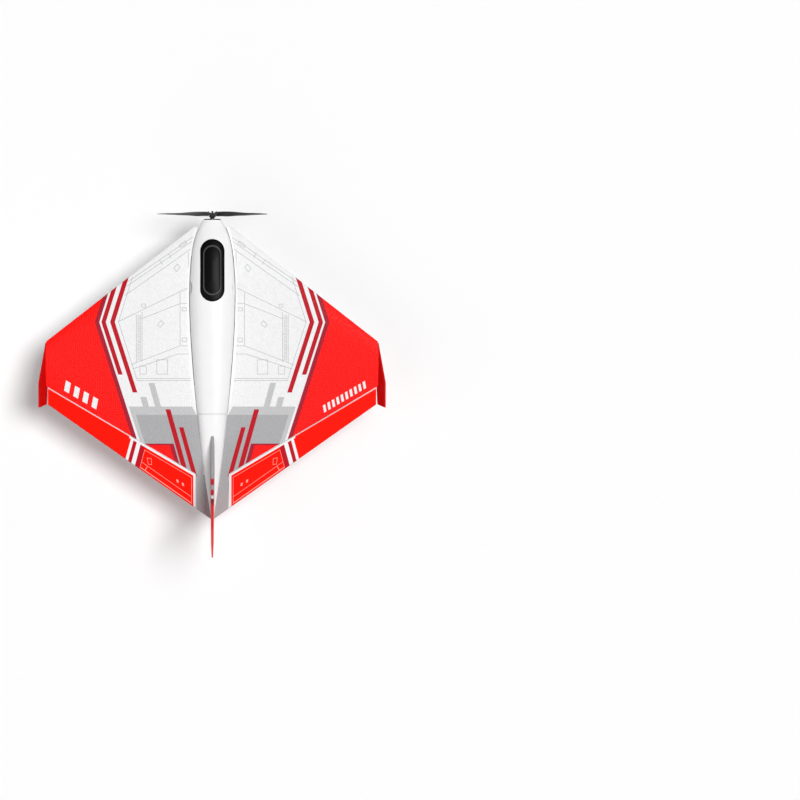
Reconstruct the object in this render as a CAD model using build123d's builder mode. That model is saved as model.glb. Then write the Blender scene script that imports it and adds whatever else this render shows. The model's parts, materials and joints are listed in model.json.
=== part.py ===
"""A small electric flying wing of moulded foam, with a tractor propeller, a lift-off top hatch,
two elevons, canted winglets and one tall swept fin.

Stations are millimetres aft of the propeller's front end, and heights are millimetres above the
belly. The nose points along -Y, +X is the port side and +Z is up. The origin is on the ground
under the middle of the aircraft.
"""

from build123d import *
import math
import os

os.makedirs("parts", exist_ok=True)

# Driving dimensions
LENGTH = 458.0
SPAN = 460.0
NOSE_Y = -LENGTH / 2

# Fuselage: station, half width, height of the widest line, top, belly
FUSELAGE = [
    (12.4, 13.2, 21.5, 32.4, 11.2),
    (24.0, 18.6, 22.0, 37.0, 10.0),
    (45.0, 25.2, 23.5, 44.0, 5.4),
    (85.0, 29.4, 25.0, 50.1, 0.1),
    (130.0, 29.9, 25.5, 50.6, -0.9),
    (190.0, 26.9, 25.5, 47.0, -0.6),
    (270.0, 20.0, 24.5, 39.9, 4.4),
    (340.0, 12.0, 22.5, 30.4, 10.8),
    (411.0, 1.4, 20.6, 21.8, 19.8),
]
FRAMES = 20  # evenly spaced frames that the skin is lofted over
FULLNESS = 0.62  # how square the fuselage section is; 0.55 is an ellipse
HATCH_SEAT = [(0, 20.6), (22, 21.2), (60, 24.4), (105, 26.4), (165, 26.2), (270, 24.2),
              (340, 22.6), (420, 20.4)]
HATCH_END = 270.0
LOWER_NOSE = 21.7
FLANGE = [(21.3, 18.0), (29.5, 57.0), (33.2, 105.0), (32.4, 165.0), (27.4, 235.0), (19.4, 272.0)]
HATCH_WALL = 4.0
TUB_WALL = 7.0
SEAM = 0.35
SIDE_GAP = 0.6

# Wing planform: half span and station of each corner
ROOT_X = 12.0
TIP_X = 221.0
ELEVON_ROOT_X = 21.5
LEADING_EDGE = ((23.5, 20.0), (221.0, 174.2))
HINGE_LINE = ((21.5, 352.6, 21.7), (221.0, 234.9, 25.1))
TRAILING_EDGE = ((0.0, 411.0, 20.2), (221.0, 255.2, 25.0))
HINGE_RADIUS = 1.8
HINGE_GAP = 0.4
EDGE_HALF = 1.1
END_GAP = 0.8

# Winglet
CANT = 25.8
WINGLET_THICK = 2.4

# Propeller and motor
SHAFT_Z = 18.3
PROP_RADIUS = 73.2
PROP_STATION = 3.9
BELL_RADIUS = 11.2

# Elevon linkage
ARM = 9.0
SERVO_X = 40.0
SERVO_STATION = 209.0
WIRE = 1.2


def plan(height=0.0):
    """A sketch plane seen from above: points are (x, station)."""
    return Plane(origin=(0, NOSE_Y, height), x_dir=(1, 0, 0), z_dir=(0, 0, 1))


def side(x=0.0):
    """A sketch plane seen from the side: points are (station, height). It faces +X."""
    return Plane(origin=(x, NOSE_Y, 0), x_dir=(0, 1, 0), z_dir=(1, 0, 0))


def front(station):
    """A sketch plane seen from the front: points are (x, height). It faces the nose."""
    return Plane(origin=(0, NOSE_Y + station, 0), x_dir=(1, 0, 0), z_dir=(0, -1, 0))


def at_x(line, x):
    """The point of a straight plan line at one x: its station, and its height if it has one."""
    (x0, *start), (x1, *end) = line
    share = (x - x0) / (x1 - x0)
    return [a + (b - a) * share for a, b in zip(start, end)]


def save(piece, name):
    """Label a finished piece and write it as its own STEP file."""
    piece.label = name
    export_step(piece, f"parts/{name}.step")


def save_pair(piece, name):
    """Write the port piece and its mirror image on the starboard side."""
    save(piece, f"{name}_left")
    save(mirror(piece, about=Plane.YZ), f"{name}_right")


# ---------------------------------------------------------------- shapes that several pieces share


def along(station, column):
    """One column of the fuselage table at any station, on a smooth curve through its rows."""
    i = 0
    while i < len(FUSELAGE) - 2 and FUSELAGE[i + 1][0] < station:
        i += 1
    rows = [FUSELAGE[max(i - 1, 0)], FUSELAGE[i], FUSELAGE[i + 1],
            FUSELAGE[min(i + 2, len(FUSELAGE) - 1)]]
    s = [row[0] for row in rows]
    v = [row[column] for row in rows]
    span = s[2] - s[1]
    t = (station - s[1]) / span
    start = (v[2] - v[0]) / (s[2] - s[0]) * span
    end = (v[3] - v[1]) / (s[3] - s[1]) * span
    return (v[1] * (2 * t**3 - 3 * t**2 + 1) + start * (t**3 - 2 * t**2 + t)
            + v[2] * (3 * t**2 - 2 * t**3) + end * (t**3 - t**2))


def fuselage_body(inset=0.0):
    """The whole fuselage, or the same shape drawn in by a wall thickness."""
    first = FUSELAGE[0][0]
    step = (FUSELAGE[-1][0] - first) / FRAMES
    k = FULLNESS
    with BuildPart() as body:
        for n in range(FRAMES + 1):
            station = first + n * step
            half, waist, top, belly = [along(station, column) for column in (1, 2, 3, 4)]
            w = max(half - inset, 0.6)
            up = max(top - inset - waist, 0.6)
            down = max(waist - belly - inset, 0.6)
            with BuildSketch(front(station)):
                with BuildLine():
                    Bezier((w, waist), (w, waist + k * up), (k * w, waist + up), (0, waist + up))
                    Bezier((0, waist + up), (-k * w, waist + up), (-w, waist + k * up), (-w, waist))
                    Bezier((-w, waist), (-w, waist - k * down), (-k * w, waist - down),
                           (0, waist - down))
                    Bezier((0, waist - down), (k * w, waist - down), (w, waist - k * down),
                           (w, waist))
                make_face()
        loft()
    return body.part


def above_seat(raise_by=0.0):
    """Everything above the line that the hatch and the spine sit on."""
    with BuildPart() as region:
        with BuildSketch(side()):
            with BuildLine():
                seat = Spline([(s, z + raise_by) for s, z in HATCH_SEAT])
                Polyline(seat @ 1, (420, 120), (0, 120), seat @ 0)
            make_face()
        extrude(amount=60, both=True)
    return region.part


def plan_prism(outline, low=-5.0, high=120.0):
    """A prism over a symmetrical plan outline, given as (half width, station) points."""
    with BuildPart() as prism:
        with BuildSketch(plan(low)):
            with BuildLine():
                right = Spline(outline)
                left = Spline([(-x, s) for x, s in outline])
                Line(right @ 0, left @ 0)
                Line(right @ 1, left @ 1)
            make_face()
        extrude(amount=high - low)
    return prism.part


def slab(first, last):
    """Everything between two stations."""
    with BuildPart() as block:
        with BuildSketch(side()):
            with Locations(((first + last) / 2, 50)):
                Rectangle(last - first, 200)
        extrude(amount=300, both=True)
    return block.part


def wing_section(x):
    """The fixed wing's section at one x, from the leading edge to the front of the hinge."""
    share = (x - ROOT_X) / (TIP_X - ROOT_X)

    def between(root, tip):
        return root + (tip - root) * share

    (le,) = at_x(LEADING_EDGE, x)
    hinge, hinge_z = at_x(HINGE_LINE, x)
    sweep = math.atan2(HINGE_LINE[0][1] - HINGE_LINE[1][1], TIP_X - ELEVON_ROOT_X)
    rear = hinge - (HINGE_RADIUS + HINGE_GAP) / math.cos(sweep)
    nose_z = between(21.6, 25.0)
    nose_r = between(2.3, 1.9)
    crest = le + (rear - le) * between(0.28, 0.32)
    crest_z = between(29.0, 28.3)
    low_z = between(19.5, 22.4)
    with BuildSketch(side(x)) as section:
        with BuildLine():
            top = Spline((le + nose_r, nose_z + nose_r), (crest, crest_z),
                         (rear, hinge_z + HINGE_RADIUS), tangents=((1, 0.22), (1, -0.055)))
            ThreePointArc(top @ 0, (le, nose_z), (le + nose_r, nose_z - nose_r))
            low = Spline((le + nose_r, nose_z - nose_r), (crest, low_z),
                         (rear, hinge_z - HINGE_RADIUS), tangents=((1, -0.01), (1, 0.01)))
            Line(top @ 1, low @ 1)
        make_face()
    return section


def flap_section(x, lead=0.0):
    """The section behind the hinge line: full depth at the hinge, thin and square at the edge."""
    hinge, hinge_z = at_x(HINGE_LINE, x)
    edge, edge_z = at_x(TRAILING_EDGE, x)
    with BuildSketch(side(x)) as section:
        with BuildLine():
            Polyline((hinge - lead, hinge_z + HINGE_RADIUS), (edge, edge_z + EDGE_HALF),
                     (edge, edge_z - EDGE_HALF), (hinge - lead, hinge_z - HINGE_RADIUS), close=True)
        make_face()
    return section


def half_wing():
    """The port wing from inside the fuselage to the tip, with the fixed part of the tail."""
    with BuildPart() as wing:
        loft([wing_section(ROOT_X).sketch, wing_section(TIP_X + 4).sketch], ruled=True)
        loft([flap_section(0.5, 8).sketch, flap_section(ELEVON_ROOT_X, 8).sketch], ruled=True)
    return wing.part


# The port hinge line, with the directions outboard along it, up from it and aft of it.
HINGE_START = Vector(HINGE_LINE[0][0], HINGE_LINE[0][1] + NOSE_Y, HINGE_LINE[0][2])
HINGE_END = Vector(HINGE_LINE[1][0], HINGE_LINE[1][1] + NOSE_Y, HINGE_LINE[1][2])
HINGE_AXIS = (HINGE_END - HINGE_START).normalized()
HINGE_UP = (Vector(0, 0, 1) - HINGE_AXIS * HINGE_AXIS.Z).normalized()
HINGE_AFT = HINGE_UP.cross(HINGE_AXIS)
HINGE_LENGTH = (HINGE_END - HINGE_START).length


def hinge_plane(reach, up=0.0):
    """Flat with the hinge line, some way along it: x runs outboard, y aft."""
    point = HINGE_START + HINGE_AXIS * reach + HINGE_UP * up
    return Plane(origin=point, x_dir=HINGE_AXIS, z_dir=HINGE_UP)


def hinge_disc_plane(reach):
    """Square to the hinge line, some way along it: x runs aft, y up."""
    return Plane(origin=HINGE_START + HINGE_AXIS * reach, x_dir=HINGE_AFT, z_dir=HINGE_AXIS)


hull = fuselage_body()
port_wing = half_wing()
flange_prism = plan_prism(FLANGE)

# ---------------------------------------------------------------- fin

FIN_ROOT = ((299.4, 36.3), (413.0, 21.0))
FIN_TIP = ((420.5, 107.0), (LENGTH, 107.0))
FIN_BURY = 1.2
FIN_TENON = (318.0, 360.0, 4.0)


def fin_root(station):
    """The height of the line where the fin meets the spine."""
    (z,) = at_x(FIN_ROOT, station)
    return z


def fin_section(height, half, edge_half):
    """The fin's section at one height."""
    (le,) = at_x(((FIN_ROOT[0][1], FIN_ROOT[0][0]), (FIN_TIP[0][1], FIN_TIP[0][0])), height)
    (te,) = at_x(((FIN_ROOT[1][1], FIN_ROOT[1][0]), (FIN_TIP[1][1], FIN_TIP[1][0])), height)
    chord = te - le
    nose = 0.7 * half
    with BuildSketch(plan(height)) as section:
        with BuildLine():
            ThreePointArc((-nose, le + nose), (0, le), (nose, le + nose))
            Polyline((nose, le + nose), (half, le + 0.15 * chord), (half, le + 0.5 * chord),
                     (edge_half, te), (-edge_half, te), (-half, le + 0.5 * chord),
                     (-half, le + 0.15 * chord), (-nose, le + nose))
        make_face()
    return section


with BuildPart() as fin:
    loft([fin_section(17, 3.2, 1.6).sketch, fin_section(107, 1.8, 0.9).sketch], ruled=True)
    with BuildSketch(side()):
        with BuildLine():
            s0, s1, deep = FIN_TENON
            Polyline((260, fin_root(260) - FIN_BURY), (s0, fin_root(s0) - FIN_BURY),
                     (s0, fin_root(s0) - FIN_BURY - deep), (s1, fin_root(s1) - FIN_BURY - deep),
                     (s1, fin_root(s1) - FIN_BURY), (430, fin_root(430) - FIN_BURY),
                     (480, 120), (260, 120), close=True)
        make_face()
    extrude(amount=10, both=True, mode=Mode.INTERSECT)

# ---------------------------------------------------------------- spar

SPAR_STATION = 165.0
SPAR_Z = 24.1
SPAR_HALF = 150.0
SPAR_RADIUS = 2.0

with BuildPart() as wing_spar:
    with BuildSketch(side(-SPAR_HALF)):
        with Locations((SPAR_STATION, SPAR_Z)):
            Circle(SPAR_RADIUS)
            Circle(SPAR_RADIUS - 0.5, mode=Mode.SUBTRACT)
    extrude(amount=2 * SPAR_HALF)

with BuildPart() as spar_hole:
    with BuildSketch(side(-SPAR_HALF)):
        with Locations((SPAR_STATION, SPAR_Z)):
            Circle(SPAR_RADIUS)
    extrude(amount=2 * SPAR_HALF)

# ---------------------------------------------------------------- hinges on the port elevon

HINGES = (26.0, 112.0, 196.0)
KNUCKLE = 1.2
PIN = 0.45
LEAF = 0.8
HINGE_WIDTH = 7.0


def hinge_box(at, u, v, n, mode=Mode.ADD):
    """A block near one point of the hinge line: u along it, v aft, n up, each (low, high)."""
    with BuildSketch(hinge_plane(at, up=n[0])) as outline:
        with Locations(((u[0] + u[1]) / 2, (v[0] + v[1]) / 2)):
            Rectangle(u[1] - u[0], v[1] - v[0])
    extrude(outline.sketch, amount=n[1] - n[0], mode=mode)


def hinge_rod(at, u, radius, mode=Mode.ADD):
    """A round bar on the hinge line between two places along it."""
    with BuildSketch(hinge_disc_plane(at + u[0])) as outline:
        Circle(radius)
    extrude(outline.sketch, amount=u[1] - u[0], mode=mode)


with BuildPart() as hinge_leaves_front:
    for place in HINGES:
        for low, high in ((-3.5, -1.3), (1.3, 3.5)):
            hinge_rod(place, (low, high), KNUCKLE)
            hinge_box(place, (low, high), (-3.2, 0), (-LEAF / 2, LEAF / 2))
        hinge_box(place, (-HINGE_WIDTH / 2, HINGE_WIDTH / 2), (-11, -3), (-LEAF / 2, LEAF / 2))
        hinge_rod(place, (-5, 5), PIN + 0.05, mode=Mode.SUBTRACT)

with BuildPart() as hinge_leaves_rear:
    for place in HINGES:
        hinge_rod(place, (-1.15, 1.15), KNUCKLE)
        hinge_box(place, (-1.15, 1.15), (0, 2.4), (-LEAF / 2, LEAF / 2))
        hinge_box(place, (-HINGE_WIDTH / 2, HINGE_WIDTH / 2), (2.2, 10), (-LEAF / 2, LEAF / 2))
        hinge_rod(place, (-5, 5), PIN + 0.05, mode=Mode.SUBTRACT)

with BuildPart() as hinge_pins:
    for place in HINGES:
        hinge_rod(place, (-HINGE_WIDTH / 2, HINGE_WIDTH / 2), PIN)

# ---------------------------------------------------------------- servo and linkage, port side

servo_point = Vector(SERVO_X, NOSE_Y + SERVO_STATION, 22.0)
servo_along = (servo_point - HINGE_START).dot(HINGE_AXIS)
horn_point = HINGE_START + HINGE_AXIS * servo_along
rod_run = horn_point - servo_point
SERVO_CASE = ((1.5, 17.5), (-5.0, 15.0), (-3.7, 3.7))
SERVO_EARS = ((6.0, 7.2), (-8.5, 18.5), (-3.7, 3.7))
EYE = 0.7


def servo_plane(up):
    """At the servo's shaft: x runs along the shaft, y aft."""
    return Plane(origin=servo_point + HINGE_UP * up, x_dir=HINGE_AXIS, z_dir=HINGE_UP)


def servo_disc_plane(u):
    """Square to the shaft: x aft, y up."""
    return Plane(origin=servo_point + HINGE_AXIS * u, x_dir=HINGE_AFT, z_dir=HINGE_AXIS)


def servo_box(u, v, n, mode=Mode.ADD):
    """A block placed from the servo's shaft."""
    with BuildSketch(servo_plane(n[0])) as outline:
        with Locations(((u[0] + u[1]) / 2, (v[0] + v[1]) / 2)):
            Rectangle(u[1] - u[0], v[1] - v[0])
    extrude(outline.sketch, amount=n[1] - n[0], mode=mode)


with BuildPart() as servo:
    servo_box(*SERVO_CASE)
    fillet(servo.edges().filter_by(Axis(origin=(0, 0, 0), direction=tuple(HINGE_AXIS))), 0.8)
    servo_box(*SERVO_EARS)
    with BuildSketch(servo_disc_plane(-0.6)):
        Circle(1.75)
    extrude(amount=2.2)

with BuildPart() as servo_arm:
    with BuildSketch(servo_disc_plane(-0.6)):
        with BuildLine():
            Polyline((-2.4, 0), (-1.6, -ARM), (1.6, -ARM), (2.4, 0), close=True)
        make_face()
        with Locations((0, -ARM)):
            Circle(1.6)
    extrude(amount=1.2)
    with BuildSketch(servo_disc_plane(-0.9)):
        Circle(2.8)
    extrude(amount=2.1)
    with BuildSketch(servo_disc_plane(-2)):
        Circle(1.8)
        with Locations((0, -ARM)):
            Circle(EYE)
    extrude(amount=5, mode=Mode.SUBTRACT)

with BuildPart() as servo_arm_screw:
    with BuildSketch(servo_disc_plane(-1.6)):
        Circle(2.2)
    extrude(amount=0.7)
    with BuildSketch(servo_disc_plane(-0.9)):
        Circle(0.9)
    extrude(amount=0.3)

with BuildPart() as control_horn:
    with BuildSketch(hinge_disc_plane(servo_along - 0.6)):
        with BuildLine():
            Polyline((1.6, -1.9), (11.5, -1.9), (3.4, -8.4), (1.6, -ARM), (-1.6, -ARM), (-1.7, -8.0),
                     close=True)
        make_face()
        with Locations((0, -ARM)):
            Circle(1.6)
            Circle(EYE, mode=Mode.SUBTRACT)
    extrude(amount=1.2)
    with BuildSketch(hinge_plane(servo_along, up=-2.7)):
        with Locations((0, 6.8)):
            RectangleRounded(7.5, 10.4, 1.2)
    extrude(amount=1.0)
    with BuildSketch(hinge_plane(servo_along, up=-2.0)):
        with Locations((-2.4, 6.8), (2.4, 6.8)):
            Circle(0.7)
    extrude(amount=2.8)

rod_plane = Plane(origin=servo_point - HINGE_UP * ARM, x_dir=HINGE_AXIS,
                  z_dir=HINGE_AXIS.cross(rod_run.normalized()))
with BuildPart() as pushrod:
    with BuildLine(rod_plane):
        wire = FilletPolyline((-1.5, 0), (2.0, 0), (2.0, rod_run.length), (-1.5, rod_run.length),
                              radius=1.0)
    with BuildSketch(Plane(origin=wire @ 0, z_dir=wire % 0)):
        Circle(WIRE / 2)
    sweep()

# ---------------------------------------------------------------- elevon

ELEVON_SPAN = (ELEVON_ROOT_X + END_GAP, 217.8)

with BuildPart() as elevon:
    loft([flap_section(x).sketch for x in ELEVON_SPAN], ruled=True)
    hinge_rod(0, (-8, HINGE_LENGTH + 8), HINGE_RADIUS)
    split(bisect_by=Plane.YZ.offset(ELEVON_SPAN[0]), keep=Keep.TOP)
    split(bisect_by=Plane.YZ.offset(ELEVON_SPAN[1]), keep=Keep.BOTTOM)
    for place in HINGES:
        hinge_rod(place, (-3.8, 3.8), KNUCKLE + 0.15, mode=Mode.SUBTRACT)
        hinge_box(place, (-3.8, 3.8), (-2.0, 0.4), (-1.25, 1.25), mode=Mode.SUBTRACT)
    add(hinge_leaves_rear.part, mode=Mode.SUBTRACT)
    add(control_horn.part, mode=Mode.SUBTRACT)

# ---------------------------------------------------------------- winglet and wing

WINGLET_TOP = 42.6
WINGLET_BASE = 24.0
cant = math.radians(CANT)
winglet_x = (SPAN / 2 - WINGLET_THICK * math.cos(cant)
             - (WINGLET_TOP - WINGLET_BASE) * math.tan(cant))
winglet_plane = Plane(origin=(winglet_x, NOSE_Y, WINGLET_BASE), x_dir=(0, 1, 0),
                      z_dir=(math.cos(cant), 0, -math.sin(cant)))


def up_winglet(station, height):
    """A point of the winglet's outline on its own canted plane."""
    return station, (height - WINGLET_BASE) / math.cos(cant)


with BuildPart() as winglet:
    with BuildSketch(winglet_plane):
        with BuildLine():
            foot = Spline(up_winglet(257.1, 25.1), up_winglet(205, 22.5), up_winglet(175.4, 24.4))
            Polyline(foot @ 1, up_winglet(228.4, WINGLET_TOP), up_winglet(261.3, WINGLET_TOP),
                     foot @ 0)
        make_face()
    extrude(amount=WINGLET_THICK)

LEAD_STATION = 195.6
LEAD_Z = 21.9

with BuildPart() as wing:
    add(port_wing)
    add(flange_prism, mode=Mode.SUBTRACT)
    add(hull, mode=Mode.SUBTRACT)
    with BuildSketch(plan(-5)):
        with Locations((0, 10)):
            Rectangle(43, 30)
    extrude(amount=60, mode=Mode.SUBTRACT)
    split(bisect_by=winglet_plane, keep=Keep.BOTTOM)
    add(spar_hole.part, mode=Mode.SUBTRACT)
    add(hinge_leaves_front.part, mode=Mode.SUBTRACT)
    servo_box(SERVO_CASE[0], SERVO_EARS[1], (-9, SERVO_CASE[2][1]), mode=Mode.SUBTRACT)
    servo_box((-2.2, SERVO_CASE[0][0]), (-9, 9), (-9, 3.4), mode=Mode.SUBTRACT)
    servo_box((3, 10.5), (-16, -8), (-2.2, 2.2), mode=Mode.SUBTRACT)
    with BuildSketch(side(10)):
        with Locations((LEAD_STATION, LEAD_Z)):
            Circle(1.6)
    extrude(amount=35, mode=Mode.SUBTRACT)
    add(fin.part, mode=Mode.SUBTRACT)

# ---------------------------------------------------------------- canopy and hatch

CANOPY_SPAN = (38.0, 121.2)
CANOPY_WIDTH = 32.4
CANOPY_THICK = 1.5
NOTCH = (102.9, 29.4, 9.4)


def canopy_prism(clear=0.0):
    """The canopy's outline, seen from above, as a tall prism."""
    length = CANOPY_SPAN[1] - CANOPY_SPAN[0]
    with BuildPart() as prism:
        with BuildSketch(plan(34)):
            with Locations((0, sum(CANOPY_SPAN) / 2)):
                SlotOverall(length - 2 * clear, CANOPY_WIDTH - 2 * clear, rotation=90)
        extrude(amount=40)
    return prism.part


with BuildPart() as canopy:
    add(canopy_prism(0.1))
    add(hull, mode=Mode.INTERSECT)
    add(fuselage_body(CANOPY_THICK), mode=Mode.SUBTRACT)

with BuildPart() as canopy_recess:
    add(canopy_prism())
    add(fuselage_body(CANOPY_THICK), mode=Mode.SUBTRACT)

with BuildPart() as finger_notches:
    with BuildSketch(side()):
        with Locations(NOTCH[:2]):
            Circle(NOTCH[2])
            with Locations((0, -NOTCH[2] / 2)):
                Rectangle(2 * NOTCH[2], NOTCH[2], mode=Mode.SUBTRACT)
    extrude(amount=60, both=True)
    add(fuselage_body(2.4), mode=Mode.SUBTRACT)

MAGNETS = (66.0, 238.0)
MAGNET_RADIUS = 1.5


def seat_height(station):
    """The height of the hatch's seat at one station, straight between its points."""
    for (s0, z0), (s1, z1) in zip(HATCH_SEAT, HATCH_SEAT[1:]):
        if s0 <= station <= s1:
            return z0 + (z1 - z0) * (station - s0) / (s1 - s0)
    return HATCH_SEAT[-1][1]


def magnets(low, high):
    """Four disc magnets in the rim, between two heights measured from the seat."""
    with BuildPart() as group:
        for station in MAGNETS:
            x = along(station, 1) - HATCH_WALL / 2
            with BuildSketch(plan(seat_height(station) + low)):
                with Locations((-x, station), (x, station)):
                    Circle(MAGNET_RADIUS)
            extrude(amount=high - low)
    return group.part


hatch_magnets = magnets(0.9, 3.9)
tub_magnets = magnets(-3.6, -0.6)

with BuildPart() as top_hatch:
    add(hull)
    add(above_seat(SEAM), mode=Mode.INTERSECT)
    split(bisect_by=front(HATCH_END - SEAM / 2), keep=Keep.TOP)
    add(fuselage_body(HATCH_WALL) & slab(30, HATCH_END - 9), mode=Mode.SUBTRACT)
    with BuildSketch(front(36)):
        with Locations((0, SHAFT_Z)):
            Circle(BELL_RADIUS + 0.7)
    extrude(amount=30, mode=Mode.SUBTRACT)
    add(canopy_recess.part, mode=Mode.SUBTRACT)
    add(finger_notches.part, mode=Mode.SUBTRACT)
    add(hatch_magnets, mode=Mode.SUBTRACT)

# ---------------------------------------------------------------- motor and propeller


def turned(first, last, radius, mode=Mode.ADD):
    """A disc or bar on the motor's axis between two stations."""
    with BuildSketch(front(last)) as outline:
        with Locations((0, SHAFT_Z)):
            Circle(radius)
    extrude(outline.sketch, amount=last - first, mode=mode)


MOUNT_RADIUS = 8.3
SCREW_CIRCLE = 6.0

with BuildPart() as motor_screws:
    for angle in (45, 135, 225, 315):
        x = SCREW_CIRCLE * math.cos(math.radians(angle))
        z = SHAFT_Z + SCREW_CIRCLE * math.sin(math.radians(angle))
        with BuildSketch(front(18.5)):
            with Locations((x, z)):
                Circle(1.7)
        extrude(amount=0.9)
        with BuildSketch(front(28)):
            with Locations((x, z)):
                Circle(0.9)
        extrude(amount=9.5)

with BuildPart() as motor_base:
    turned(18.5, 19.9, MOUNT_RADIUS)
    turned(12.8, 18.6, 3.0)
    turned(12, 21, 1.55, mode=Mode.SUBTRACT)
    add(motor_screws.part, mode=Mode.SUBTRACT)

with BuildPart() as motor_mount:
    turned(19.9, LOWER_NOSE, MOUNT_RADIUS)
    turned(19, 23, 3.2, mode=Mode.SUBTRACT)
    add(motor_screws.part, mode=Mode.SUBTRACT)

with BuildPart() as motor_stator:
    turned(12.9, 16.6, 9.3)
    turned(12, 18, 3.0, mode=Mode.SUBTRACT)
    with BuildSketch(front(17)):
        with Locations((0, SHAFT_Z)):
            with PolarLocations(7.2, 9):
                SlotOverall(5.4, 1.6)
    extrude(amount=5, mode=Mode.SUBTRACT)

with BuildPart() as motor_bell:
    turned(10.8, 17.0, BELL_RADIUS)
    turned(12.2, 18.0, BELL_RADIUS - 1.5, mode=Mode.SUBTRACT)
    with BuildSketch(front(13)):
        with Locations((0, SHAFT_Z)):
            with PolarLocations(6.6, 6):
                SlotOverall(5.6, 3.4, rotation=90)
    extrude(amount=4, mode=Mode.SUBTRACT)
    turned(9.6, 12.5, 3.2)
    turned(9, 14, 1.5, mode=Mode.SUBTRACT)

with BuildPart() as motor_shaft:
    turned(6.9, 19.6, 1.5)

with BuildPart() as prop_adapter:
    with BuildSketch(Plane(origin=(0, NOSE_Y, SHAFT_Z), x_dir=(1, 0, 0), z_dir=(0, 0, 1))):
        Polygon((0, 9.5), (2.4, 9.5), (2.6, 9.0), (4.8, 7.5), (4.8, 6.9), (0, 6.9), align=None)
    revolve(axis=Axis((0, NOSE_Y, SHAFT_Z), (0, 1, 0)))
    with BuildSketch(front(8.2)):
        with Locations((0, SHAFT_Z)):
            Rectangle(2.6, 11.0)
    extrude(amount=1.3)
    turned(6, 11, 1.5, mode=Mode.SUBTRACT)

CLIP_RADIUS = 6.9

with BuildPart() as prop_clip:
    with BuildSketch(side(-1.3)):
        with Locations((CLIP_RADIUS, SHAFT_Z)):
            Circle(CLIP_RADIUS)
            Circle(CLIP_RADIUS - 1.2, mode=Mode.SUBTRACT)
            with Locations((CLIP_RADIUS + 1.3, 0)):
                Rectangle(2 * CLIP_RADIUS, 3 * CLIP_RADIUS, mode=Mode.SUBTRACT)
    extrude(amount=2.6)

BLADE = [  # radius, chord, thickness, angle to the propeller's disc
    (2.6, 4.6, 2.6, 62), (9, 7.6, 2.2, 52), (20, 10.4, 1.6, 36), (36, 10.6, 1.2, 23),
    (54, 8.6, 0.9, 16), (67, 5.6, 0.7, 13), (PROP_RADIUS, 2.2, 0.5, 12),
]

with BuildPart() as blade:
    for radius, chord, thick, pitch in BLADE:
        lean = math.radians(pitch)
        with BuildSketch(Plane(origin=(radius, NOSE_Y + PROP_STATION, SHAFT_Z),
                               x_dir=(0, math.sin(lean), math.cos(lean)), z_dir=(1, 0, 0))):
            Ellipse(chord / 2, thick / 2)
    loft()

with BuildPart() as propeller:
    turned(2.7, 6.9, 3.4)
    add(blade.part)
    add(Location((0, 0, 2 * SHAFT_Z)) * (Rotation(0, 180, 0) * blade.part))
    with BuildSketch(Plane(origin=(0, NOSE_Y, SHAFT_Z - 1.4), x_dir=(1, 0, 0), z_dir=(0, 0, 1))):
        for flip in (-1, 1):
            with BuildLine():
                Polyline((2 * flip, 6.0), (6 * flip, 5.6), (5.6 * flip, 2.8), (6 * flip, 0),
                         (4.4 * flip, 0.8), (4 * flip, 3.4), (2 * flip, 3.4), close=True)
            make_face()
    extrude(amount=2.8)

# ---------------------------------------------------------------- fuselage tub and tail spine

PEDESTAL_RADIUS = 9.5
BAY = (34.0, 254.0)
TRAY = ((58.0, 200.0), 15.5, 8.5)
GROOVE = (211.0, 4.7, 36.0)
GRIP = ((140.0, 170.0), (3.7, 17.3))
VENT = (40.0, 10.6)


with BuildPart() as grip_cuts:
    with BuildSketch(side()):
        with Locations((sum(GRIP[0]) / 2, sum(GRIP[1]) / 2)):
            RectangleRounded(GRIP[0][1] - GRIP[0][0], GRIP[1][1] - GRIP[1][0], 5)
    extrude(amount=60, both=True)
    add(fuselage_body(3.0), mode=Mode.SUBTRACT)

with BuildPart() as vent_holes:
    with BuildSketch(side()):
        with Locations(VENT):
            Circle(1.8)
    extrude(amount=60, both=True)
    add(fuselage_body(3.5), mode=Mode.SUBTRACT)

with BuildPart() as hatch_room:
    add(plan_prism([(along(s, 1) + SIDE_GAP, s) for s in range(13, 274, 20)], low=15, high=60))
    add(above_seat(), mode=Mode.INTERSECT)

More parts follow.
